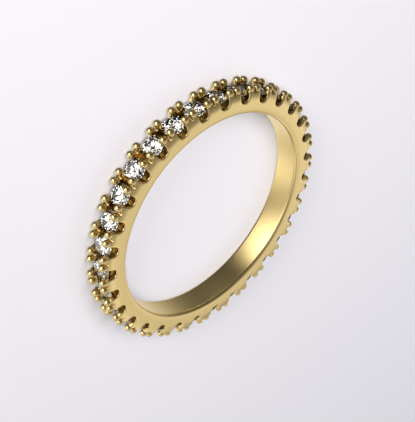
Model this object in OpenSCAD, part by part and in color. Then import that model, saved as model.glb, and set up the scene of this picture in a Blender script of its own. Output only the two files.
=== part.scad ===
// Full eternity wedding ring: a cast gold band with one row of round
// brilliant-cut stones, each held by four ball-topped claws.
// The ring lies on its side: the finger hole runs along +Z, the origin is the
// centre of the hole on the lower side face, and stone_01 faces -Y.

/* [Band] */
// Inner diameter, the finger's size
bore_d = 16.5; // [15.5:0.1:18]
// Width of the band along the finger
band_w = 2.1; // [2:0.05:2.4]
// Rounding of the two inner edges
edge_r = 0.19; // [0.05:0.01:0.25]
// Radial distance from the hole inside which the side faces ease down to the edge
ease_h = 0.53; // [0.4:0.01:0.6]
// How far they would have fallen at the hole
ease_drop = 0.06; // [0.02:0.01:0.08]
// Radial distance from the hole to where the flat side faces end
face_h = 1.15; // [1.1:0.01:1.2]
// Radial distance from the hole to the top of the side walls
wall_h = 1.68; // [1.66:0.01:1.7]
// Lean of the shoulders and claws towards the middle plane, run over rise
lean_run = 0.28; // [0.27:0.005:0.29]

/* [Channel under the stones] */
// Width of the channel between the two side walls
channel_w = 0.88; // [0.8:0.01:0.95]
// Radial distance from the hole to the channel's floor
channel_h = 0.85; // [0.75:0.01:0.88]
// Radial distance from the hole to the bottom of each scallop
scallop_h = 0.9; // [0.89:0.01:0.95]
// Radius of a scallop's round bottom
scallop_r = 0.4; // [0.36:0.01:0.42]
// Angle by which each side of a scallop opens outwards
scallop_open = 8; // [4:1:10]
// Radius of the round groove that parts the two claws of a pair
groove_r = 0.14; // [0.13:0.005:0.145]

/* [Claws] */
// Distance of a claw from the plane midway between two stones
claw_off = 0.345; // [0.34:0.005:0.36]
// Distance of a claw's ball from the band's middle plane
ball_z = 0.65; // [0.64:0.002:0.65]
// Radial distance from the hole to the centre of a ball
ball_h = 1.827; // [1.8:0.001:1.86]
// Radius of a ball
ball_r = 0.28; // [0.23:0.01:0.29]
// Radius of a claw's round shaft
claw_r = 0.195; // [0.185:0.005:0.195]
// Radial distance from the hole to a claw's root, inside the wall
root_h = 1.15; // [1.13:0.01:1.17]

/* [Stones] */
// Diameter of a stone at its girdle
stone_d = 1.63; // [1.5:0.01:1.64]
// Radial distance from the hole to the middle of the girdle
girdle_h = 1.42; // [1.4:0.01:1.44]
// Gap between a stone and its seat
seat_gap = 0.02; // [0.01:0.005:0.03]
// Width of the table across its corners, as a part of the diameter
table_part = 0.57; // [0.53:0.01:0.62]
// Thickness of the girdle, as a part of the diameter
girdle_part = 0.03; // [0.02:0.005:0.04]
// Angle of the crown's main facets
crown_angle = 34.5; // [32:0.5:36]
// Angle of the pavilion's main facets
pavilion_angle = 40.75; // [40:0.25:42]
// Length of the star facets, as a part of the way from table to girdle
star_part = 0.5; // [0.45:0.01:0.58]
// Length of the lower girdle facets, as a part of the radius
lower_part = 0.77; // [0.7:0.01:0.85]
// How far each stone is turned in its seat from the one before it
stone_turn = 17; // [0:1:45]

/* [Hidden] */
STONES = 31;
$fn = 96;
pitch = 360 / STONES;
first_angle = -90;
bore_r = bore_d / 2;
half_w = band_w / 2;
face_r = bore_r + face_h;
wall_r = bore_r + wall_h;
ball_at = bore_r + ball_h;
girdle_at = bore_r + girdle_h;
scallop_at = bore_r + scallop_h + scallop_r;
through = 1;
arc_steps = 8;
ease_steps = 4;

function stone_name(i) = str("stone_", i < 10 ? "0" : "", i);
function stone_angle(i) = first_angle + (i - 1) * pitch;

// Points on an arc of radius r about a centre, from angle a to angle b
function arc(centre, r, a, b, steps) =
    [for (i = [0:steps]) let (t = a + (b - a) * i / steps)
        [centre[0] + r * cos(t), centre[1] + r * sin(t)]];

// A ring of eight or sixteen points at one height
function ring(n, r, turn, z) =
    [for (i = [0:n - 1]) let (t = turn + i * 360 / n) [r * cos(t), r * sin(t), z]];

// How far a side face has fallen at distance s from the hole
function fallen(s) = ease_drop * pow(max(ease_h - s, 0) / ease_h, 2);

// Turned profile of the shank: bore, rounded inner edges, sides that are flat
// but for an eased inner part, leaning shoulders and the channel under the stones
module shank_profile() {
    wall_in = channel_w / 2;
    tilt = atan(2 * ease_drop * (ease_h - edge_r) / pow(ease_h, 2));
    meet = edge_r * (1 - sin(tilt));
    centre = [bore_r + edge_r, half_w - fallen(meet) - edge_r * cos(tilt)];
    upper = concat(
        arc(centre, edge_r, 180, 90 + tilt, arc_steps),
        [for (i = [1:ease_steps]) let (s = meet + (ease_h - meet) * i / ease_steps)
            [bore_r + s, half_w - fallen(s)]],
        [[face_r, half_w], [wall_r, half_w - (wall_r - face_r) * lean_run],
         [wall_r, wall_in], [bore_r + channel_h, wall_in]]);
    lower = [for (i = [len(upper) - 1:-1:0]) [upper[i][0], -upper[i][1]]];
    polygon(concat(upper, lower));
}

// Outline of one scallop, opening outwards from a round bottom
module scallop_outline() {
    side_x = scallop_r * cos(scallop_open);
    side_y = -scallop_r * sin(scallop_open);
    rise = through - side_y;
    circle(r = scallop_r);
    polygon([[-side_x, side_y], [side_x, side_y],
             [side_x + rise * tan(scallop_open), through],
             [-side_x - rise * tan(scallop_open), through]]);
}

// Cuts one scallop through both side walls, at the angle of a stone
module scallop() {
    translate([scallop_at, 0, -through])
        rotate([0, 0, -90])
            linear_extrude(height = 2 * through + band_w)
                scallop_outline();
}

// Cuts the groove between the two claws of a pair through both side walls
module groove() {
    translate([wall_r, 0, -through])
        cylinder(r = groove_r, h = 2 * through + band_w);
}

// One claw: a leaning round shaft with a ball on top, on the upper side
module claw() {
    lean = atan(lean_run);
    length = (ball_h - root_h) / cos(lean);
    translate([ball_at, claw_off, ball_z]) {
        sphere(r = ball_r);
        rotate([0, lean - 90, 0])
            cylinder(r = claw_r, h = length);
    }
}

// The four claws between two neighbouring stones
module claw_group() {
    for (side = [0, 1], across = [0, 1])
        mirror([0, side, 0])
            mirror([0, 0, across])
                claw();
}

// Space cut for one stone: its cone, girdle and crown with the gap all round
module seat() {
    r = stone_d / 2 + seat_gap;
    half_girdle = girdle_part * stone_d / 2;
    cone_h = r * tan(pavilion_angle);
    crown_h = 0.3;
    translate([girdle_at, 0, 0])
        rotate([0, 90, 0]) {
            translate([0, 0, -half_girdle - cone_h])
                cylinder(r1 = 0, r2 = r, h = cone_h);
            translate([0, 0, -half_girdle])
                cylinder(r = r, h = 2 * half_girdle);
            translate([0, 0, half_girdle])
                cylinder(r1 = r, r2 = r - crown_h / tan(crown_angle), h = crown_h);
        }
}

// The turned shank with the scallops and grooves cut through its walls
module shank() {
    difference() {
        translate([0, 0, half_w])
            rotate_extrude()
                shank_profile();
        for (i = [1:STONES]) {
            rotate([0, 0, stone_angle(i)])
                scallop();
            rotate([0, 0, stone_angle(i) + pitch / 2])
                groove();
        }
    }
}

// The cast band: the shank and its claws, with the stones' seats cut last
module band() {
    color("gold")
        difference() {
            union() {
                shank();
                translate([0, 0, half_w])
                    for (i = [1:STONES])
                        rotate([0, 0, stone_angle(i) + pitch / 2])
                            claw_group();
            }
            translate([0, 0, half_w])
                for (i = [1:STONES])
                    rotate([0, 0, stone_angle(i)])
                        seat();
        }
}

// One round brilliant with its girdle at z = 0 and its table towards +Z.
// Facets: table, 8 stars, 8 kites, 16 upper halves, girdle, 16 lower halves
// and 8 pavilion mains that meet in a point.
module brilliant() {
    r = stone_d / 2;
    girdle_z = girdle_part * stone_d / 2;
    table_r = r * table_part;
    table_z = girdle_z + (r - table_r) * tan(crown_angle);
    table_edge = table_r * cos(22.5);
    star_r = table_edge + star_part * (r - table_edge);
    star_z = table_z - (star_r * cos(22.5) - table_r) * tan(crown_angle);
    lower_r = r * (1 - lower_part);
    lower_z = -girdle_z - (r - lower_r * cos(22.5)) * tan(pavilion_angle);
    culet_z = -girdle_z - r * tan(pavilion_angle);
    points = concat(
        ring(8, table_r, 0, table_z),
        ring(8, star_r, 22.5, star_z),
        ring(16, r, 0, girdle_z),
        ring(16, r, 0, -girdle_z),
        ring(8, lower_r, 22.5, lower_z),
        [[0, 0, culet_z]]);
    star = 8;
    top = 16;
    under = 32;
    low = 48;
    culet = 56;
    faces = concat(
        [[for (i = [7:-1:0]) i]],
        [for (i = [0:7]) [i, (i + 1) % 8, star + i]],
        [for (i = [0:7]) [i, star + i, top + 2 * i, star + (i + 7) % 8]],
        [for (i = [0:7]) [star + i, top + 2 * i + 1, top + 2 * i]],
        [for (i = [0:7]) [star + i, top + (2 * i + 2) % 16, top + 2 * i + 1]],
        [for (i = [0:15]) [top + i, top + (i + 1) % 16, under + (i + 1) % 16, under + i]],
        [for (i = [0:7]) [low + i, under + 2 * i, under + 2 * i + 1]],
        [for (i = [0:7]) [low + i, under + 2 * i + 1, under + (2 * i + 2) % 16]],
        [for (i = [0:7]) [culet, low + (i + 7) % 8, under + 2 * i, low + i]]);
    polyhedron(points = points, faces = faces, convexity = 2);
}

// Stone number i in its seat, table outwards
module stone(i) {
    color("aliceblue")
        translate([0, 0, half_w])
            rotate([0, 0, stone_angle(i)])
                translate([girdle_at, 0, 0])
                    rotate([0, 90, 0])
                        rotate([0, 0, i * stone_turn])
                            brilliant();
}

band();
for (i = [1:STONES])
    stone(i);
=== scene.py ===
"""Dresses the eternity ring: one fused gold band and a row of clear cut stones.

All sizes in the classes are millimetres in the ring's own frame: the finger hole
runs along +Z, the lower side face lies on the floor at z = 0, and stone_01 faces -Y.
Meshes are handed to Blender in metres.
"""

import logging
import math
from dataclasses import dataclass, field
from enum import Enum
from typing import Optional

import bpy
import numpy as np
from mathutils import Matrix, Vector


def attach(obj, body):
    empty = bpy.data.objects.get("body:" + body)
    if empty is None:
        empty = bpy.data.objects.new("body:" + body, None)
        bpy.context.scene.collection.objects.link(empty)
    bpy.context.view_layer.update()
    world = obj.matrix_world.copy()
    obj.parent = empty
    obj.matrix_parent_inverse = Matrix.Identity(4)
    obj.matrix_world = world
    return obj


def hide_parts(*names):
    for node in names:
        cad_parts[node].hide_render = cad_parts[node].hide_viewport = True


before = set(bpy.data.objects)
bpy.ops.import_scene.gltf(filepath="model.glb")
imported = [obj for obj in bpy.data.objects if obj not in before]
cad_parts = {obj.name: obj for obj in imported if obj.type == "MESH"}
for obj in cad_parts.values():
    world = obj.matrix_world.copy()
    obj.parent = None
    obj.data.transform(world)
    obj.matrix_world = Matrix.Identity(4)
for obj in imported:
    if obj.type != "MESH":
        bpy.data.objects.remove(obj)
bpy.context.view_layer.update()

MM = 0.001
STONES = 31
PITCH = 2 * math.pi / STONES
HALF_PITCH = PITCH / 2
FIRST_ANGLE = -math.pi / 2
PHOTO_WIDTH = 415
PHOTO_HEIGHT = 422

log = logging.getLogger("ring")


def round_max(a: np.ndarray, b: np.ndarray, radius: float) -> np.ndarray:
    """Joins two distances by their larger one, with the outer corner turned to an arc.

    Where both are above minus the radius, the distance is that to a circle of the
    radius centred that far inside both; elsewhere it is the plain maximum.

    Args:
        a: First distance field.
        b: Second distance field.
        radius: Radius of the rounded corner.

    Returns:
        The joined distance field.
    """
    outer = np.hypot(np.maximum(radius + a, 0), np.maximum(radius + b, 0))
    return np.minimum(-radius, np.maximum(a, b)) + outer


def blend_max(a: np.ndarray, b: np.ndarray, width: float) -> np.ndarray:
    """Joins two distances by their larger one, eased by a parabola where they meet.

    The maximum is raised by a quarter of width times the square of how near the two
    distances are, as a part of width.

    Args:
        a: First distance field.
        b: Second distance field.
        width: How far apart the distances are where the easing ends.

    Returns:
        The joined distance field.
    """
    near = np.maximum(width - np.abs(a - b), 0) / width
    return np.maximum(a, b) + near * near * width / 4


def blend_min(a: np.ndarray, b: np.ndarray, width: float) -> np.ndarray:
    """Joins two distances by their smaller one, eased as in blend_max."""
    return -blend_max(-a, -b, width)


def mesh_object(
    name: str,
    points: np.ndarray,
    faces: np.ndarray,
    normals: Optional[np.ndarray] = None,
    unit: float = MM,
) -> bpy.types.Object:
    """Puts whole arrays of points and faces into a new mesh object.

    Args:
        name: Name of the object and of its mesh.
        points: Points in millimetres, one row each.
        faces: Corner numbers, one row for each face.
        normals: Direction of the surface at each point, for smooth shading.
        unit: Size of one millimetre in the mesh.

    Returns:
        The new object, linked to the scene and standing at the origin.
    """
    mesh = bpy.data.meshes.new(name)
    corners = faces.shape[1]
    mesh.vertices.add(len(points))
    mesh.vertices.foreach_set("co", (points * unit).astype(np.float32).ravel())
    mesh.loops.add(faces.size)
    mesh.loops.foreach_set("vertex_index", faces.astype(np.int32).ravel())
    mesh.polygons.add(len(faces))
    starts = np.arange(0, faces.size, corners, dtype=np.int32)
    mesh.polygons.foreach_set("loop_start", starts)
    mesh.update(calc_edges=True)
    mesh.validate()
    mesh.shade_smooth()
    if normals is not None:
        mesh.normals_split_custom_set_from_vertices(normals.astype(np.float32))
    made = bpy.data.objects.new(name, mesh)
    bpy.context.scene.collection.objects.link(made)
    return made


@dataclass(frozen=True)
class GoldFinish:
    """Polished pale yellow gold with faint polishing marks and painted shade in its
    recesses.

    Attributes:
        name: Name of the material.
        colour: Colour of the metal as it faces the viewer, linear.
        recess_shade: Colour of the painted shade in the recesses, linear.
        grazing: Tint of its reflections at a low angle, linear.
        roughness: Mean roughness of the polish.
        spread: How much the roughness varies either way.
        satin: Roughness added in the satin bore.
        cloud_scale: Clouds of roughness to a metre.
        cloud_detail: How many finer layers the clouds have.
        cloud_range: The clouds' values where the roughness is least and most.
        mark_scale: Polishing marks to a metre.
        mark_detail: How many finer layers the marks have.
        mark_height: Height of the polishing marks, in millimetres.
        polished_strength: How strongly the marks show where the gold is polished.
        satin_strength: How strongly they show in the satin bore.
    """

    name: str = "polished_gold"
    colour: tuple[float, float, float] = (0.8, 0.605, 0.27)
    # The next colour is painted shade: a darker gold for the sheltered recesses.
    recess_shade: tuple[float, float, float] = (0.62, 0.44, 0.17)
    grazing: tuple[float, float, float] = (1.0, 0.97, 0.9)
    roughness: float = 0.17
    spread: float = 0.02
    satin: float = 0.08
    cloud_scale: float = 2500
    cloud_detail: float = 3
    cloud_range: tuple[float, float] = (0.3, 0.7)
    mark_scale: float = 14000
    mark_detail: float = 2
    mark_height: float = 0.0003
    polished_strength: float = 0.15
    satin_strength: float = 0.8

    def material(self) -> bpy.types.Material:
        """Builds the node material: metal with painted shade in its recesses, cloudy
        roughness and fine marks.

        The mesh says at each point how sheltered it is and whether it is satin.

        Returns:
            The finished material.
        """
        made = bpy.data.materials.new(self.name)
        made.use_nodes = True
        tree = made.node_tree
        shader = tree.nodes["Principled BSDF"]
        shader.inputs["Metallic"].default_value = 1
        shader.inputs["Specular Tint"].default_value = (*self.grazing, 1)
        satin = self.attribute(tree, "satin")
        self.paint_recess_shade(tree, shader)
        self.cloud(tree, shader, satin)
        self.mark(tree, shader, satin)
        return made

    def paint_recess_shade(self, tree: bpy.types.NodeTree, shader: bpy.types.Node) -> None:
        """Paints shade into the colour: the gold turns darker where it is sheltered.

        Args:
            tree: The material's node tree.
            shader: The metal's shader.
        """
        # Painted shade: mixes towards the darker recess colour as the gold is more
        # sheltered.
        shade = tree.nodes.new("ShaderNodeMix")
        shade.data_type = "RGBA"
        shade.inputs[6].default_value = (*self.colour, 1)
        shade.inputs[7].default_value = (*self.recess_shade, 1)
        tree.links.new(self.attribute(tree, "sheltered"), shade.inputs[0])
        tree.links.new(shade.outputs[2], shader.inputs["Base Color"])

    def cloud(self, tree: bpy.types.NodeTree, shader: bpy.types.Node,
              satin: bpy.types.NodeSocket) -> None:
        """Varies the roughness in soft clouds, and raises it where the gold is satin.

        Args:
            tree: The material's node tree.
            shader: The metal's shader.
            satin: Socket with how satin the gold is.
        """
        levels = tree.nodes.new("ShaderNodeMapRange")
        levels.inputs["From Min"].default_value = self.cloud_range[0]
        levels.inputs["From Max"].default_value = self.cloud_range[1]
        levels.inputs["To Min"].default_value = self.roughness - self.spread
        levels.inputs["To Max"].default_value = self.roughness + self.spread
        clouds = self.noise(tree, self.cloud_scale, self.cloud_detail)
        tree.links.new(clouds, levels.inputs["Value"])
        rough = tree.nodes.new("ShaderNodeMath")
        rough.operation = "MULTIPLY_ADD"
        rough.inputs[1].default_value = self.satin
        tree.links.new(satin, rough.inputs[0])
        tree.links.new(levels.outputs["Result"], rough.inputs[2])
        tree.links.new(rough.outputs[0], shader.inputs["Roughness"])

    def mark(self, tree: bpy.types.NodeTree, shader: bpy.types.Node,
             satin: bpy.types.NodeSocket) -> None:
        """Raises fine polishing marks, which are stronger where the gold is satin.

        Args:
            tree: The material's node tree.
            shader: The metal's shader.
            satin: Socket with how satin the gold is.
        """
        grain = tree.nodes.new("ShaderNodeMapRange")
        grain.inputs["To Min"].default_value = self.polished_strength
        grain.inputs["To Max"].default_value = self.satin_strength
        tree.links.new(satin, grain.inputs["Value"])
        bump = tree.nodes.new("ShaderNodeBump")
        bump.inputs["Distance"].default_value = self.mark_height * MM
        tree.links.new(grain.outputs["Result"], bump.inputs["Strength"])
        marks = self.noise(tree, self.mark_scale, self.mark_detail)
        tree.links.new(marks, bump.inputs["Height"])
        tree.links.new(bump.outputs["Normal"], shader.inputs["Normal"])

    @staticmethod
    def attribute(tree: bpy.types.NodeTree, name: str) -> bpy.types.NodeSocket:
        """Socket with one of the values that the mesh holds at each point.

        Args:
            tree: The material's node tree.
            name: Name of the value.

        Returns:
            The socket.
        """
        node = tree.nodes.new("ShaderNodeAttribute")
        node.attribute_name = name
        return node.outputs["Fac"]

    @staticmethod
    def noise(tree: bpy.types.NodeTree, scale: float, detail: float) -> bpy.types.NodeSocket:
        """Socket with a noise over the object's own coordinates.

        Args:
            tree: The material's node tree.
            scale: Size of the noise, in bumps to a metre.
            detail: How many finer layers it has.

        Returns:
            The socket.
        """
        place = tree.nodes.new("ShaderNodeTexCoord")
        node = tree.nodes.new("ShaderNodeTexNoise")
        node.inputs["Scale"].default_value = scale
        node.inputs["Detail"].default_value = detail
        tree.links.new(place.outputs["Object"], node.inputs["Vector"])
        return node.outputs["Fac"]


@dataclass(frozen=True)
class StoneFinish:
    """Clear cut stone with the fire and weight of a diamond.

    Attributes:
        name: Name of the material.
        colour: Tint of the light that passes through.
        ior: Index of refraction.
    """

    name: str = "clear_stone"
    colour: tuple[float, float, float] = (1.0, 0.98, 0.94)
    ior: float = 2.42

    def material(self) -> bpy.types.Material:
        """Builds the refracting material.

        Returns:
            The finished material.
        """
        made = bpy.data.materials.new(self.name)
        made.use_nodes = True
        shader = made.node_tree.nodes["Principled BSDF"]
        shader.inputs["Base Color"].default_value = (*self.colour, 1)
        shader.inputs["Roughness"].default_value = 0
        shader.inputs["IOR"].default_value = self.ior
        shader.inputs["Transmission Weight"].default_value = 1
        return made


@dataclass(frozen=True)
class Meshing:
    """How finely the band's surface is worked out.

    Attributes:
        cells: Cells of the grid along radius, angle and height.
        high: Radius at which the grid ends.
        tall: Height above the middle plane at which the grid ends.
        hair: Step over which the rate of the distance is measured.
        rounds: Steps in which points settle on the surface.
        least_rate: Smallest square of the rate that a settling step divides by.
        touching: Distance under which a point of the grid lies on a plane.
        seam: Distance under which a point of the thinned quarter lies on one.
        merged: Size within which points of neighbouring copies are one.
        edge_steps: Rows of faces round an inner edge.
        side_rows: Radii of the rows between the core and an inner edge.
        bore_rows: Heights of the rows down the bore to the middle plane.
        target: Triangles wanted in the repeated quarter outside the core.
        hidden_beside: How near the channel's sides a point counts as hidden.
        hidden_seat: How near a seat's surface it does.
        sight_weight: How freely faces in sight are merged, hidden ones being at 1.
        evenness: How much those weights count.
    """

    cells: tuple[int, int, int] = (66, 38, 46)
    high: float = 10.42
    tall: float = 1.15
    hair: float = 0.0001
    rounds: int = 7
    least_rate: float = 0.25
    touching: float = 0.000001
    seam: float = 0.012
    merged: float = 0.0002
    edge_steps: int = 6
    side_rows: tuple[float, ...] = (8.7, 8.6, 8.5)
    bore_rows: tuple[float, ...] = (0.5, 0.25, 0.0)
    target: int = 1390
    hidden_beside: float = 0.02
    hidden_seat: float = 0.01
    sight_weight: float = 0.5
    evenness: float = 0.0005


@dataclass
class Band:
    """The cast band with its claws, as one fused solid with soft edges.

    The form is a distance field: how far a point lies outside the gold, built from
    the turned shank, the scallops, the notches, the claws and the stone seats. The
    surface is where the distance is zero. It repeats in a quarter of one stone's
    share of the ring, between the plane midway between two stones, the plane
    through a stone and the band's middle plane.

    Attributes:
        bore: Radius of the finger hole.
        half_width: Half the band's width.
        dome: How far the bore opens from its middle to its edges.
        edge: Rounding of the two inner edges.
        ease_from: Radius inside which a side face eases down towards the bore.
        ease: How far it has fallen at the bore.
        core: Radius inside which the band is a plain turned shape.
        face: Radius where the flat side faces end and the shoulders start to roll.
        roll: How far a shoulder falls in at the walls' top.
        lean: Lean of the claws towards the middle, run over rise.
        top: Radius of the side walls' top.
        channel_floor: Radius of the floor under the stones.
        channel_half: Half the channel's width.
        scallop_floor: Radius of a scallop's lowest point.
        scallop_round: Radius of a scallop's round bottom.
        scallop_open: Angle by which a scallop's sides open outwards, in degrees.
        scallop_rim: Rounding along a scallop's rim.
        notch_floor: Radius of the lowest point between two claws of a pair.
        notch_round: Radius of that notch.
        notch_rim: Rounding along the notch's rim.
        claw_offset: Distance of a claw from the plane midway between stones.
        claw_radius: Radius of a claw's shaft.
        claw_root: Radius at which a claw's shaft starts, inside the wall.
        ball_at: Radius at which a ball's centre stands.
        ball_height: Distance of a ball from the band's middle plane.
        ball_radius: Radius of a ball.
        seat_at: Radius of the plane of the stones' girdles.
        seat_radius: Radius of a seat at the girdle.
        seat_girdle: Half the height of the seat's straight part.
        crown_angle: Slope of the seat above the girdle, in degrees.
        pavilion_angle: Slope of the seat below the girdle, in degrees.
        table_at: Radius of the plane of the stones' tables.
        wall_rim: Rounding of the walls' top, outside and along the channel.
        shaft_blend: How far apart shaft and wall are where they start to melt.
        ball_blend: The same for ball and shaft.
        seat_rim: Rounding along a seat's rim.
        shelter_steps: Distances at which it is looked how sheltered a point is.
        shelter_start: Sheltered share above which the painted shade starts.
        shelter_full: Sheltered share at which the painted shade is full.
        satin_fade: Distance out from the bore over which its satin fades.
        meshing: How finely the surface is worked out.
        finish: The gold's finish.
    """

    bore: float = 8.25
    half_width: float = 1.05
    dome: float = 0.03
    edge: float = 0.19
    ease_from: float = 8.78
    ease: float = 0.06
    core: float = 8.8
    face: float = 9.25
    roll: float = 0.155
    lean: float = 0.28
    top: float = 9.95
    channel_floor: float = 9.10
    channel_half: float = 0.44
    scallop_floor: float = 9.15
    scallop_round: float = 0.40
    scallop_open: float = 8.0
    scallop_rim: float = 0.08
    notch_floor: float = 9.79
    notch_round: float = 0.14
    notch_rim: float = 0.04
    claw_offset: float = 0.345
    claw_radius: float = 0.195
    claw_root: float = 9.45
    ball_at: float = 10.077
    ball_height: float = 0.65
    ball_radius: float = 0.278
    seat_at: float = 9.67
    seat_radius: float = 0.835
    seat_girdle: float = 0.024
    crown_angle: float = 34.5
    pavilion_angle: float = 40.75
    table_at: float = 9.935
    wall_rim: float = 0.05
    shaft_blend: float = 0.03
    ball_blend: float = 0.04
    seat_rim: float = 0.02
    shelter_steps: tuple[float, ...] = (0.1, 0.2, 0.35, 0.5)
    shelter_start: float = 0.4
    shelter_full: float = 0.8
    satin_fade: float = 0.1
    meshing: Meshing = field(default_factory=Meshing)
    finish: GoldFinish = field(default_factory=GoldFinish)

    def distance(self, points: np.ndarray) -> np.ndarray:
        """Distance of each point outside the gold, negative inside it.

        The point is folded into one quarter by its angle and height. The shank is
        the larger of the distances to the bore, the side faces and the wall's top.
        The bore opens from its middle by the square of the height.
        A shoulder falls in from the side face by the square of the way from where it
        starts to the wall's top. Channel, scallop, notch and seat are taken
        away by the larger of the distance and minus theirs. Claw shafts and balls
        are added by the smaller distance.

        Args:
            points: Points about the ring's centre, x along the plane midway
                between two stones.

        Returns:
            One distance for each point.
        """
        x, y, z, up, side = self.fold(points)
        out = np.hypot(x, y)
        way = np.maximum(out - self.face, 0) / (self.top - self.face)
        back = np.maximum(self.ease_from - out, 0) / (self.ease_from - self.bore)
        face = z - self.half_width + self.roll * way * way + self.ease * back * back
        bore = self.bore + self.dome * (z / self.half_width) ** 2
        gold = round_max(bore - out, face, self.edge)
        gold = round_max(gold, out - self.top, self.wall_rim)
        channel = np.maximum(self.channel_floor - out, z - self.channel_half)
        gold = round_max(gold, -channel, self.wall_rim)
        gold = round_max(gold, -self.scallop(up, side), self.scallop_rim)
        gold = round_max(gold, -self.notch(x, y), self.notch_rim)
        shaft, ball = self.claw(x, y, z)
        gold = blend_min(gold, shaft, self.shaft_blend)
        gold = blend_min(gold, ball, self.ball_blend)
        return round_max(gold, -self.seat(up, side, z), self.seat_rim)

    @staticmethod
    def fold(points: np.ndarray) -> tuple[np.ndarray, ...]:
        """Folds points into the quarter.

        Args:
            points: Points about the ring's centre.

        Returns:
            Distance along and from the plane midway between two stones, height, and
            distance along and from the plane through the nearest stone.
        """
        x, y, z = points[..., 0], points[..., 1], np.abs(points[..., 2])
        out = np.hypot(x, y)
        turn = HALF_PITCH - np.abs(HALF_PITCH - np.abs(np.arctan2(y, x)))
        other = HALF_PITCH - turn
        return (out * np.cos(turn), out * np.sin(turn), z,
                out * np.cos(other), out * np.sin(other))

    def scallop(self, up: np.ndarray, side: np.ndarray) -> np.ndarray:
        """Distance outside a scallop: a circle below, two opening lines above.

        Args:
            up: Distance along the plane through a stone.
            side: Distance from that plane.

        Returns:
            One distance for each point.
        """
        angle = math.radians(self.scallop_open)
        rise = up - (self.scallop_floor + self.scallop_round)
        straight = side * math.cos(angle) - rise * math.sin(angle)
        above = side * math.sin(angle) + rise * math.cos(angle) > 0
        return np.where(above, straight, np.hypot(side, rise)) - self.scallop_round

    def notch(self, x: np.ndarray, y: np.ndarray) -> np.ndarray:
        """Distance outside the slot with a round bottom between two claws."""
        below = np.minimum(x - (self.notch_floor + self.notch_round), 0)
        return np.hypot(y, below) - self.notch_round

    def claw(
        self, x: np.ndarray, y: np.ndarray, z: np.ndarray
    ) -> tuple[np.ndarray, np.ndarray]:
        """Distances outside a claw's shaft and its ball.

        The shaft is the distance to the line from root to ball, less its radius.

        Args:
            x: Distance along the plane midway between two stones.
            y: Distance from that plane.
            z: Distance from the band's middle plane.

        Returns:
            The distance to the shaft and the distance to the ball.
        """
        top = np.array([self.ball_at, self.claw_offset, self.ball_height])
        drop = self.ball_at - self.claw_root
        root = top + np.array([-drop, 0, self.lean * drop])
        line = top - root
        place = np.stack([x, y, z], -1) - root
        along = np.clip(place @ line / (line @ line), 0, 1)
        shaft = np.linalg.norm(place - along[..., None] * line, axis=-1)
        ball = np.linalg.norm(place - line, axis=-1)
        return shaft - self.claw_radius, ball - self.ball_radius

    def seat(self, up: np.ndarray, side: np.ndarray, z: np.ndarray) -> np.ndarray:
        """Distance outside a seat: two cones and the straight band between them.

        Args:
            up: Distance along the plane through a stone.
            side: Distance from that plane.
            z: Distance from the band's middle plane.

        Returns:
            One distance for each point.
        """
        over = np.hypot(side, z) - self.seat_radius
        rise = up - self.seat_at
        crown, pavilion = map(math.radians, (self.crown_angle, self.pavilion_angle))
        upper = (rise - self.seat_girdle) * math.cos(crown) + over * math.sin(crown)
        lower = -(rise + self.seat_girdle) * math.cos(pavilion)
        lower = lower + over * math.sin(pavilion)
        return np.maximum(np.maximum(upper, lower), over)

    def gradient(self, points: np.ndarray) -> np.ndarray:
        """Rate of the distance along x, y and z, from differences over a hair.

        Args:
            points: Points about the ring's centre.

        Returns:
            One direction for each point, pointing out of the gold.
        """
        steps = np.eye(3) * self.meshing.hair
        ahead = np.stack([self.distance(points + s) for s in steps], -1)
        behind = np.stack([self.distance(points - s) for s in steps], -1)
        return (ahead - behind) / (2 * self.meshing.hair)

    def sheltered(self, points: np.ndarray, normals: np.ndarray) -> np.ndarray:
        """How sheltered points of the surface are, with the stones in their seats; this sets
        the painted shade.

        In the open, a step along the normal leads as far from the gold and the stones
        as it is long. The share by which it falls short is averaged over the steps.

        Args:
            points: Points on the surface.
            normals: Their unit normals.

        Returns:
            0 for a point in the open or half sheltered, up to 1 deep in a recess.
        """
        short = []
        for step in self.shelter_steps:
            place = points + step * normals
            _, _, z, up, side = self.fold(place)
            stone = np.maximum(self.seat(up, side, z), up - self.table_at)
            free = np.minimum(self.distance(place), stone)
            short.append(np.clip(1 - free / step, 0, 1))
        span = self.shelter_full - self.shelter_start
        return np.clip((np.mean(short, 0) - self.shelter_start) / span, 0, 1)

    def quarter(self) -> tuple[np.ndarray, np.ndarray]:
        """Finds the surface in the repeated quarter.

        The distance is worked out on a grid of radius, angle and height. The first
        and last cells lie astride the planes and the core that it ends at.

        Returns:
            Points in millimetres, and faces of four corners.
        """
        meshing = self.meshing
        size = np.array([meshing.high - self.core, HALF_PITCH, meshing.tall])
        step = size / meshing.cells
        start = np.array([self.core, 0, 0]) - step / 2
        count = np.array(meshing.cells) + (1, 2, 1)
        place = np.stack(np.meshgrid(*map(np.arange, count), indexing="ij"), -1)
        value = self.distance(self.unroll(start + place * step))
        points, number = self.cell_points(value, place)
        return self.unroll(start + points * step), self.cell_faces(value, number)

    @staticmethod
    def grid_edges(axis: int) -> tuple[list[slice], list[slice]]:
        """Slices that pick the near and the far end of the grid's edges on an axis."""
        near, far = [slice(None)] * 3, [slice(None)] * 3
        near[axis], far[axis] = slice(None, -1), slice(1, None)
        return near, far

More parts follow.
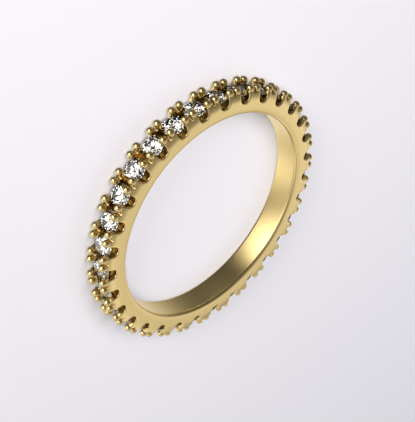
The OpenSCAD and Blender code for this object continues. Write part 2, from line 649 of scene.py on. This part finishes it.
    def cell_points(
        self, value: np.ndarray, place: np.ndarray
    ) -> tuple[np.ndarray, np.ndarray]:
        """Gives one point to each cell of the grid that the surface crosses.

        An edge is crossed where a straight line between the distances at its two
        ends is zero. The cell's point is the mean of the crossings on its edges.

        Args:
            value: Distance at each point of the grid.
            place: Number of each point of the grid along the three axes.

        Returns:
            The points, in steps of the grid, and each cell's point number or -1.
        """
        shape = tuple(n - 1 for n in value.shape)
        total, crossings = np.zeros((*shape, 3)), np.zeros(shape)
        for axis in range(3):
            near, far = self.grid_edges(axis)
            a, b = value[tuple(near)], value[tuple(far)]
            crossed = (a < 0) != (b < 0)
            point = place[tuple(near)].astype(float)
            point[..., axis] += np.where(crossed, a / np.where(crossed, a - b, 1), 0)
            others = [k for k in range(3) if k != axis]
            for shifts in ((0, 0), (0, 1), (1, 0), (1, 1)):
                source = [slice(None)] * 3
                for other, shift in zip(others, shifts):
                    source[other] = slice(shift, shape[other] + shift)
                hit = crossed[tuple(source)]
                total += np.where(hit[..., None], point[tuple(source)], 0)
                crossings += hit
        used = crossings > 0
        number = np.full(shape, -1)
        number[used] = np.arange(used.sum())
        return total[used] / crossings[used][:, None], number

    def cell_faces(self, value: np.ndarray, number: np.ndarray) -> np.ndarray:
        """Gives one face to each edge of the grid that the surface crosses.

        Its corners are the points of the four cells round the edge, in the order
        that turns the face out of the gold.

        Args:
            value: Distance at each point of the grid.
            number: Point number of each cell.

        Returns:
            Faces of four corners.
        """
        faces = []
        for axis in range(3):
            near, far = self.grid_edges(axis)
            first, second = (axis + 1) % 3, (axis + 2) % 3
            for side in (near, far):
                side[first] = side[second] = slice(1, -1)
            inside = value[tuple(near)] < 0
            crossed = inside != (value[tuple(far)] < 0)
            edge = np.argwhere(crossed)
            edge[:, [first, second]] += 1
            ring = []
            for a, b in ((1, 1), (0, 1), (0, 0), (1, 0)):
                cell = edge.copy()
                cell[:, first] -= a
                cell[:, second] -= b
                ring.append(number[tuple(cell.T)])
            face = np.stack(ring, 1)
            faces.append(np.where(inside[crossed][:, None], face, face[:, ::-1]))
        return np.concatenate(faces)

    @staticmethod
    def unroll(polar: np.ndarray) -> np.ndarray:
        """Turns radius, angle and height into x, y and z."""
        out, turn = polar[..., 0], polar[..., 1]
        return np.stack([out * np.cos(turn), out * np.sin(turn), polar[..., 2]], -1)

    def settle(self, points: np.ndarray, held: np.ndarray) -> np.ndarray:
        """Moves points onto the surface, those at a plane of symmetry within it.

        Each step goes back along the gradient by the distance over its square.

        Args:
            points: Points near the surface.
            held: For each point, whether it stays in the plane midway between
                stones, in the plane through a stone and in the middle plane.

        Returns:
            The settled points.
        """
        across = np.array([-math.sin(HALF_PITCH), math.cos(HALF_PITCH), 0])
        planes = np.stack([np.array([0, 1.0, 0]), across, np.array([0, 0, 1.0])])
        points = points.copy()
        for _ in range(self.meshing.rounds):
            for plane, kept in zip(planes, held.T):
                points -= np.where(kept, points @ plane, 0)[:, None] * plane
            rate = self.gradient(points)
            square = np.maximum((rate * rate).sum(1), self.meshing.least_rate)
            points -= (self.distance(points) / square)[:, None] * rate
        for plane, kept in zip(planes, held.T):
            points -= np.where(kept, points @ plane, 0)[:, None] * plane
        return points

    def on_core(self, points: np.ndarray) -> np.ndarray:
        """Moves points out or in to the core radius."""
        out = np.hypot(points[:, 0], points[:, 1])[:, None]
        return points * np.hstack([self.core / out, self.core / out, np.ones_like(out)])

    def turned(self, rim: np.ndarray) -> tuple[np.ndarray, np.ndarray]:
        """Lays a plain grid over the turned part inside the core radius.

        Its rows go in over the side face, round the rounded edge and down the bore
        to the middle plane. Its columns start at the points of the rim.

        Args:
            rim: Points at the core radius on the side face, by rising angle.

        Returns:
            Points and triangles.
        """
        meshing = self.meshing
        turn = np.arctan2(rim[:, 1], rim[:, 0])
        arc = np.radians(np.linspace(90, 180, meshing.edge_steps + 1))
        out = self.bore + self.dome + self.edge * (1 + np.cos(arc))
        rise = self.half_width - self.ease - self.edge * (1 - np.sin(arc))
        flat = np.full(len(meshing.side_rows), self.half_width)
        deep = np.full(len(meshing.bore_rows), self.bore)
        out = np.concatenate([meshing.side_rows, out, deep])
        rise = np.concatenate([flat, rise, meshing.bore_rows])
        shape = (len(out), len(turn))
        polar = np.stack([np.broadcast_to(out[:, None], shape),
                          np.broadcast_to(turn, shape),
                          np.broadcast_to(rise[:, None], shape)], -1)
        points = self.unroll(polar.reshape(-1, 3))
        points = self.settle(points, self.held(points, meshing.hair))
        points = np.concatenate([rim, points])
        number = np.arange(len(points)).reshape(-1, len(turn))
        a, b = number[:-1, :-1].ravel(), number[:-1, 1:].ravel()
        c, d = number[1:, 1:].ravel(), number[1:, :-1].ravel()
        return points, np.concatenate([np.stack([a, b, c], 1), np.stack([a, c, d], 1)])

    def held(self, points: np.ndarray, reach: float) -> np.ndarray:
        """Which points lie within reach of each of the three planes."""
        across = points[:, 1] * math.cos(HALF_PITCH) - points[:, 0] * math.sin(HALF_PITCH)
        return np.abs(np.stack([points[:, 1], across, points[:, 2]], 1)) < reach

    def thin(self, points: np.ndarray, faces: np.ndarray) -> tuple[np.ndarray, np.ndarray]:
        """Merges faces where the surface is flat, until the wanted count is left.

        Faces inside the channel and the seats are merged first.

        Args:
            points: Points of the fine quarter.
            faces: Its faces of four corners.

        Returns:
            Points and triangles of the thinned quarter.
        """
        meshing = self.meshing
        fine = mesh_object("quarter", points, faces, unit=1)
        _, _, z, up, side = self.fold(points)
        hidden = (z < self.channel_half + meshing.hidden_beside) & (up < self.ball_at)
        hidden |= np.abs(self.seat(up, side, z)) < meshing.hidden_seat
        free = fine.vertex_groups.new(name="free")
        free.add(np.flatnonzero(hidden).tolist(), 1, "REPLACE")
        free.add(np.flatnonzero(~hidden).tolist(), meshing.sight_weight, "REPLACE")
        fewer = fine.modifiers.new("fewer", "DECIMATE")
        fewer.ratio = meshing.target / (2 * len(faces))
        fewer.use_collapse_triangulate = True
        fewer.vertex_group = "free"
        fewer.vertex_group_factor = meshing.evenness
        graph = bpy.context.evaluated_depsgraph_get()
        mesh = fine.evaluated_get(graph).to_mesh()
        spots = np.empty(len(mesh.vertices) * 3, np.float32)
        mesh.vertices.foreach_get("co", spots)
        corners = np.empty(len(mesh.loops), np.int32)
        mesh.loops.foreach_get("vertex_index", corners)
        bpy.data.objects.remove(fine)
        return spots.reshape(-1, 3).astype(float), corners.reshape(-1, 3)

    def patch(self) -> tuple[np.ndarray, np.ndarray]:
        """Makes the thinned quarter together with its turned part.

        Points on the quarter's edges are put back on their planes and on the core
        radius, so that neighbouring copies meet.

        Returns:
            Points and triangles.
        """
        seam = self.meshing.seam
        points, faces = self.quarter()
        points = self.settle(points, self.held(points, self.meshing.touching))
        points, faces = self.thin(points, faces)
        border = self.border(faces, len(points))
        rim = border & (np.hypot(points[:, 0], points[:, 1]) < self.core + seam)
        points[rim] = self.on_core(points[rim])
        points = self.settle(points, self.held(points, seam) & border[:, None])
        points[rim] = self.on_core(points[rim])
        edge = points[rim][np.argsort(np.arctan2(*points[rim].T[1::-1]))]
        inner, inner_faces = self.turned(edge)
        faces = np.concatenate([faces, inner_faces + len(points)])
        log.info("quarter: %d triangles, %d points on the rim", len(faces), len(edge))
        return np.concatenate([points, inner]), faces

    @staticmethod
    def repeated(
        points: np.ndarray, normals: np.ndarray, faces: np.ndarray
    ) -> tuple[np.ndarray, ...]:
        """Turns and mirrors the quarter round the whole ring.

        Each copy is mirrored across the plane midway between two stones, across the
        middle plane, both or neither, and turned about the axis by whole pitches.

        Args:
            points: Points of the quarter.
            normals: Their unit normals.
            faces: Its triangles.

        Returns:
            Points, normals and triangles of all the copies.
        """
        parts = []
        for turn in FIRST_ANGLE + HALF_PITCH + PITCH * np.arange(STONES):
            spin = np.array([[math.cos(turn), -math.sin(turn), 0],
                             [math.sin(turn), math.cos(turn), 0], [0, 0, 1]])
            for y, z in ((1, 1), (-1, 1), (1, -1), (-1, -1)):
                move = (spin @ np.diag([1, y, z])).T
                corners = faces if y * z > 0 else faces[:, ::-1]
                parts.append((points @ move, normals @ move,
                              corners + len(points) * len(parts)))
        return tuple(map(np.concatenate, zip(*parts)))

    def build(self) -> bpy.types.Object:
        """Makes the whole band from turned and mirrored copies of the quarter.

        Returns:
            The band's object, riding on the ring and standing for the CAD band.
        """
        points, faces = self.patch()
        normals = self.gradient(points)
        normals /= np.linalg.norm(normals, axis=1)[:, None]
        # How sheltered each point is, which sets the painted shade in the recesses.
        sheltered = self.sheltered(points, normals)
        points, normals, faces = self.repeated(points, normals, faces)
        sheltered = np.tile(sheltered, len(points) // len(sheltered))
        key = np.round(points / self.meshing.merged).astype(np.int64)
        _, first, which = np.unique(key, axis=0, return_index=True, return_inverse=True)
        points, normals, faces = points[first], normals[first], which.reshape(-1)[faces]
        out = np.hypot(points[:, 0], points[:, 1])
        satin = np.clip((self.bore + self.satin_fade - out) / self.satin_fade, 0, 1)
        points[:, 2] += self.half_width
        band = mesh_object("gold_band", points, faces, normals)
        # The sheltered value feeds the painted shade; satin raises the bore's roughness.
        for name, values in (("sheltered", sheltered[first]), ("satin", satin)):
            layer = band.data.attributes.new(name, "FLOAT", "POINT")
            layer.data.foreach_set("value", values.astype(np.float32))
        band.data.materials.append(self.finish.material())
        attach(band, "root")
        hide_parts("band")
        log.info("gold_band: %d points, %d triangles", len(points), len(faces))
        return band

    @staticmethod
    def border(faces: np.ndarray, count: int) -> np.ndarray:
        """Finds the points on an edge that only one triangle has.

        Args:
            faces: Triangles.
            count: Number of points.

        Returns:
            For each point, whether it lies on such an edge.
        """
        edges = np.concatenate([faces[:, [0, 1]], faces[:, [1, 2]], faces[:, [2, 0]]])
        edges = np.sort(edges, 1)
        pairs, times = np.unique(edges, axis=0, return_counts=True)
        marked = np.zeros(count, bool)
        marked[pairs[times == 1].ravel()] = True
        return marked


@dataclass
class StoneRow:
    """The row of cut stones, whose solids are right and only need their finish.

    Attributes:
        count: Number of stones.
        finish: The stones' finish.
    """

    count: int = STONES
    finish: StoneFinish = field(default_factory=StoneFinish)

    def dress(self) -> list[bpy.types.Object]:
        """Gives each stone its clear material with flat facets.

        Returns:
            The stones' objects.
        """
        clear = self.finish.material()
        stones = [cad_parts[f"stone_{i:02d}"] for i in range(1, self.count + 1)]
        for stone in stones:
            stone.data.materials.clear()
            stone.data.materials.append(clear)
        log.info("stones: %d dressed", len(stones))
        return stones


class Seen(Enum):
    """Where one of the room's patches of light is seen."""

    METAL = "in the metal"
    STONES = "through the stones"


def direction(azimuth: float, elevation: float) -> Vector:
    """Direction at an azimuth round the ring and an elevation above the floor."""
    a, e = math.radians(azimuth), math.radians(elevation)
    return Vector((math.sin(a) * math.cos(e), -math.cos(a) * math.cos(e), math.sin(e)))


@dataclass(frozen=True)
class Glow:
    """One round patch of light in the room.

    The metal, which blurs all that it shows, sees patches that fade softly. Those
    seen through the stones have a sharp edge, as cut facets show it.

    Attributes:
        azimuth: Degrees round the ring, 0 towards the front and 90 to the right.
        elevation: Degrees above the floor.
        spread: Degrees from its middle to where it has faded to three fifths, or to
            its sharp edge.
        strength: Brightness in its middle.
        seen: Where it is seen.
    """

    azimuth: float
    elevation: float
    spread: float
    strength: float
    seen: Seen = Seen.METAL

    def shine(self, tree: bpy.types.NodeTree, toward: bpy.types.NodeSocket,
              before: Optional[bpy.types.NodeSocket]) -> bpy.types.NodeSocket:
        """Adds the patch to the light that comes from each direction.

        A soft patch is its strength times e to the power of the cosine from its
        middle less one, over the square of its spread. A sharp one is its strength
        where the cosine is above that of its spread.

        Args:
            tree: The room's node tree.
            toward: Socket with the direction looked in.
            before: Socket with the brightness of the patches so far, if any.

        Returns:
            Socket with the brightness with this patch added.
        """
        spread = math.radians(self.spread)
        facing = tree.nodes.new("ShaderNodeVectorMath")
        facing.operation = "DOT_PRODUCT"
        facing.inputs[1].default_value = direction(self.azimuth, self.elevation)
        tree.links.new(toward, facing.inputs[0])
        shape = tree.nodes.new("ShaderNodeMath")
        if self.seen is Seen.METAL:
            over = tree.nodes.new("ShaderNodeMath")
            over.operation = "MULTIPLY_ADD"
            over.inputs[1].default_value = 1 / spread ** 2
            over.inputs[2].default_value = -1 / spread ** 2
            tree.links.new(facing.outputs["Value"], over.inputs[0])
            shape.operation = "EXPONENT"
            tree.links.new(over.outputs[0], shape.inputs[0])
        else:
            shape.operation = "GREATER_THAN"
            shape.inputs[1].default_value = math.cos(spread)
            tree.links.new(facing.outputs["Value"], shape.inputs[0])
        total = tree.nodes.new("ShaderNodeMath")
        total.operation = "MULTIPLY_ADD"
        total.inputs[1].default_value = self.strength
        total.inputs[2].default_value = 0
        tree.links.new(shape.outputs[0], total.inputs[0])
        if before is not None:
            tree.links.new(before, total.inputs[2])
        return total.outputs[0]


@dataclass(frozen=True)
class Lamp:
    """One square soft lamp that lights the floor.

    Attributes:
        azimuth: Degrees round the ring, 0 towards the front and 90 to the right.
        elevation: Degrees above the floor.
        distance: Millimetres from the ring.
        size: Width of the lamp, in millimetres.
        brightness: Brightness of its face.
        tint: Colour of its light.
    """

    azimuth: float
    elevation: float
    distance: float
    size: float
    brightness: float
    tint: tuple[float, float, float]

    def build(self, name: str) -> bpy.types.Object:
        """Hangs the lamp; its power is pi times its face's area and brightness.

        Args:
            name: Name of the lamp.

        Returns:
            The lamp's object.
        """
        data = bpy.data.lights.new(name, "AREA")
        data.size = self.size * MM
        data.color = self.tint
        data.energy = math.pi * data.size ** 2 * self.brightness
        made = bpy.data.objects.new(name, data)
        away = direction(self.azimuth, self.elevation)
        made.location = away * self.distance * MM
        made.rotation_euler = (-away).to_track_quat("-Z", "Y").to_euler()
        made.visible_camera = made.visible_glossy = made.visible_transmission = False
        bpy.context.scene.collection.objects.link(made)
        return made


@dataclass
class Studio:
    """Pale floor, the room's soft glows that the metal shows, and floor lamps.

    The metal and the stones see the glows all round, also from below, as they do on
    a ring that stands on its edge. The floor and its lamps stay out of their sight.

    Attributes:
        floor_half: Half the floor's side.
        floor_colour: Colour of the floor, linear.
        floor_roughness: Roughness of the floor.
        floor_shine: How much of a plain surface's shine the floor has.
        backdrop: Colour of the plain backdrop behind the floor, linear.
        ambient: Brightness of the room between the glows.
        glows: The room's soft patches of light.
        lamps: The floor's lamps.
    """

    floor_half: float = 900.0
    floor_colour: tuple[float, float, float] = (0.86, 0.85, 0.87)
    floor_roughness: float = 0.9
    floor_shine: float = 0.1
    backdrop: tuple[float, float, float] = (0.82, 0.8, 0.82)
    ambient: float = 0.045
    glows: dict[str, Glow] = field(default_factory=lambda: {
        "window": Glow(2, -10, 11, 3.9),
        "window_left": Glow(-7, -26, 9, 1.3),
        "window_right": Glow(15, -26, 10, 1.2),
        "window_wall": Glow(27, 0, 18, 2.3),
        "window_top": Glow(12, 18, 10, 0.8),
        "right_screen": Glow(92, 20, 22, 1.0),
        "right_corner": Glow(148, 15, 9, 0.8),
        "right_low": Glow(83, -39, 16, 1.2),
        "back_low": Glow(145, -44, 21, 1.0),
        "back_high": Glow(156, 41, 13, 0.85),
        "back_top": Glow(-160, 56, 15, 0.08),
        "back_left": Glow(-170, 30, 9, 0.76),
        "back_gap": Glow(-172, 5, 7, 0.4),
        "left_low": Glow(-154, -12, 26, 0.88),
        "left_fill": Glow(-63, -8, 18, 0.25),
        "overhead": Glow(20, 85, 25, 0.3),
        "main_sparkle": Glow(8, 12, 25, 3.0, Seen.STONES),
        "left_sparkle": Glow(-25, 12, 7, 2.0, Seen.STONES),
        "low_sparkle": Glow(25, -15, 7, 2.0, Seen.STONES),
        "right_edge": Glow(60, 0, 18, 1.0, Seen.STONES),
        "left_edge": Glow(-60, 0, 12, 1.5, Seen.STONES),
        "rear_sparkle": Glow(150, 20, 16, 2.5, Seen.STONES),
        "rear_edge": Glow(-120, 10, 12, 2.0, Seen.STONES),
    })
    lamps: dict[str, Lamp] = field(default_factory=lambda: {
        "front_lamp": Lamp(0, 48, 500, 200, 12, (0.9, 0.94, 1.0)),
        "low_lamp": Lamp(0, 18, 400, 120, 15, (1.0, 0.96, 0.9)),
        "left_lamp": Lamp(-41, 50, 150, 80, 5.2, (1.0, 0.88, 0.86)),
        "right_lamp": Lamp(-162, 50, 150, 130, 1.25, (0.88, 0.91, 1.0)),
    })

    def build(self) -> None:
        """Makes the floor, the room and the lamps."""
        self.floor()
        self.room()
        for name, lamp in self.lamps.items():
            lamp.build(name)
        log.info("studio: floor, %d glows, %d lamps", len(self.glows), len(self.lamps))

    def floor(self) -> bpy.types.Object:
        """Lays the pale floor under the ring.

        Returns:
            The floor's object.
        """
        corners = np.array([[-1, -1, 0], [1, -1, 0], [1, 1, 0], [-1, 1, 0]])
        points = corners * self.floor_half
        made = mesh_object("floor", points, np.array([[0, 1, 2, 3]]))
        finish = bpy.data.materials.new("pale_floor")
        finish.use_nodes = True
        shader = finish.node_tree.nodes["Principled BSDF"]
        shader.inputs["Base Color"].default_value = (*self.floor_colour, 1)
        shader.inputs["Roughness"].default_value = self.floor_roughness
        shader.inputs["Specular IOR Level"].default_value = self.floor_shine
        made.data.materials.append(finish)
        made.visible_glossy = False
        made.visible_transmission = False
        return made

    def room(self) -> None:
        """Sets the light from all round: the sum of the patches, plain to the eye."""
        world = bpy.data.worlds.new("room")
        world.use_nodes = True
        bpy.context.scene.world = world
        world.cycles_visibility.diffuse = False
        tree = world.node_tree
        nodes, link = tree.nodes, tree.links.new
        place, ray = nodes.new("ShaderNodeTexCoord"), nodes.new("ShaderNodeLightPath")
        sums: dict[Seen, Optional[bpy.types.NodeSocket]] = {seen: None for seen in Seen}
        for glow in self.glows.values():
            sums[glow.seen] = glow.shine(tree, place.outputs["Generated"], sums[glow.seen])
        dim = nodes.new("ShaderNodeMath")
        dim.inputs[1].default_value = self.ambient
        link(sums[Seen.METAL], dim.inputs[0])
        through = nodes.new("ShaderNodeMix")
        link(ray.outputs["Is Transmission Ray"], through.inputs[0])
        link(dim.outputs[0], through.inputs[2])
        link(sums[Seen.STONES], through.inputs[3])
        link(through.outputs[0], nodes["Background"].inputs["Color"])
        plain = nodes.new("ShaderNodeBackground")
        plain.inputs["Color"].default_value = (*self.backdrop, 1)
        choice = nodes.new("ShaderNodeMixShader")
        link(ray.outputs["Is Camera Ray"], choice.inputs["Fac"])
        link(nodes["Background"].outputs[0], choice.inputs[1])
        link(plain.outputs[0], choice.inputs[2])
        link(choice.outputs[0], nodes["World Output"].inputs["Surface"])


@dataclass
class PhotoCamera:
    """The camera at the photograph's angle to the ring.

    Attributes:
        place: Where the lens is, in millimetres.
        right: Direction of the picture's right side.
        up: Direction of the picture's top.
        focal_pixels: Focal length in pixels of the picture.
        sensor: Width of the picture on the sensor, in millimetres.
        clip: Nearest and farthest distance seen, in metres.
    """

    place: tuple[float, float, float] = (-4.135, -74.574, 50.964)
    right: tuple[float, float, float] = (-0.55495, 0.48250, 0.67766)
    up: tuple[float, float, float] = (-0.83063, -0.27675, -0.48317)
    focal_pixels: float = 1240.0
    sensor: float = 36.0
    clip: tuple[float, float] = (0.001, 10.0)

    def build(self) -> bpy.types.Object:
        """Makes the camera and gives it to the scene.

        Returns:
            The camera's object.
        """
        data = bpy.data.cameras.new("photo_camera")
        data.sensor_width = self.sensor
        data.lens = self.focal_pixels / max(PHOTO_WIDTH, PHOTO_HEIGHT) * self.sensor
        data.clip_start, data.clip_end = self.clip
        made = bpy.data.objects.new("photo_camera", data)
        right, up = Vector(self.right).normalized(), Vector(self.up).normalized()
        turn = Matrix((right, up, right.cross(up))).transposed().to_4x4()
        made.matrix_world = Matrix.Translation(Vector(self.place) * MM) @ turn
        bpy.context.scene.collection.objects.link(made)
        bpy.context.scene.camera = made
        return made


def main() -> None:
    """Builds the camera, the ring and the studio."""
    logging.basicConfig(level=logging.INFO, format="%(name)s: %(message)s")
    PhotoCamera().build()
    Band().build()
    StoneRow().dress()
    Studio().build()
    bpy.context.scene.view_settings.view_transform = "Standard"


if __name__ == "__main__":
    main()
